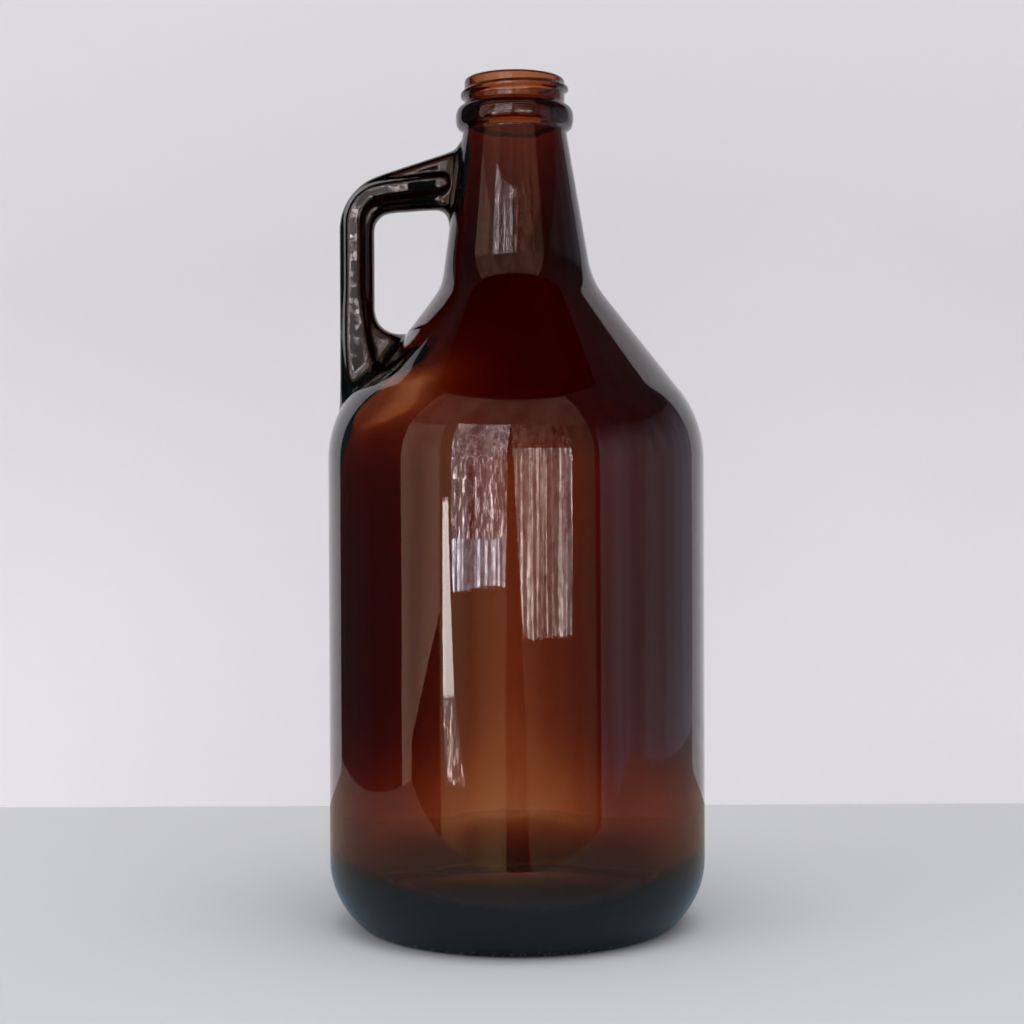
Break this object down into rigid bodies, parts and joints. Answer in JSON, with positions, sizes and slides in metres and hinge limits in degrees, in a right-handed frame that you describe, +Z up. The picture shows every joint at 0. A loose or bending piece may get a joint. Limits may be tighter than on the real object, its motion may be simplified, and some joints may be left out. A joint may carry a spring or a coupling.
{
  "type": "growler",
  "caption": "Amber glass growler jug: round body, steep shoulder, tapered neck, finger handle and an open screw-thread mouth for beer, cider or wine.",
  "frame": {"origin": "on the jug's axis, in the plane of the bearing ring it stands on", "axes": "+Z up along the jug's axis to the mouth, -X towards the finger handle, +Y to the jug's back as the handle points left"},
  "size_m": [0.1298, 0.1298, 0.292],
  "materials": {
    "amber_glass": "clear amber glass, gloss"
  },
  "bodies": {
    "root": {"base": "amber_glass", "body_wall": "amber_glass", "shoulder": "amber_glass", "neck": "amber_glass", "threaded_finish": "amber_glass", "handle": "amber_glass"}
  },
  "joints": []
}
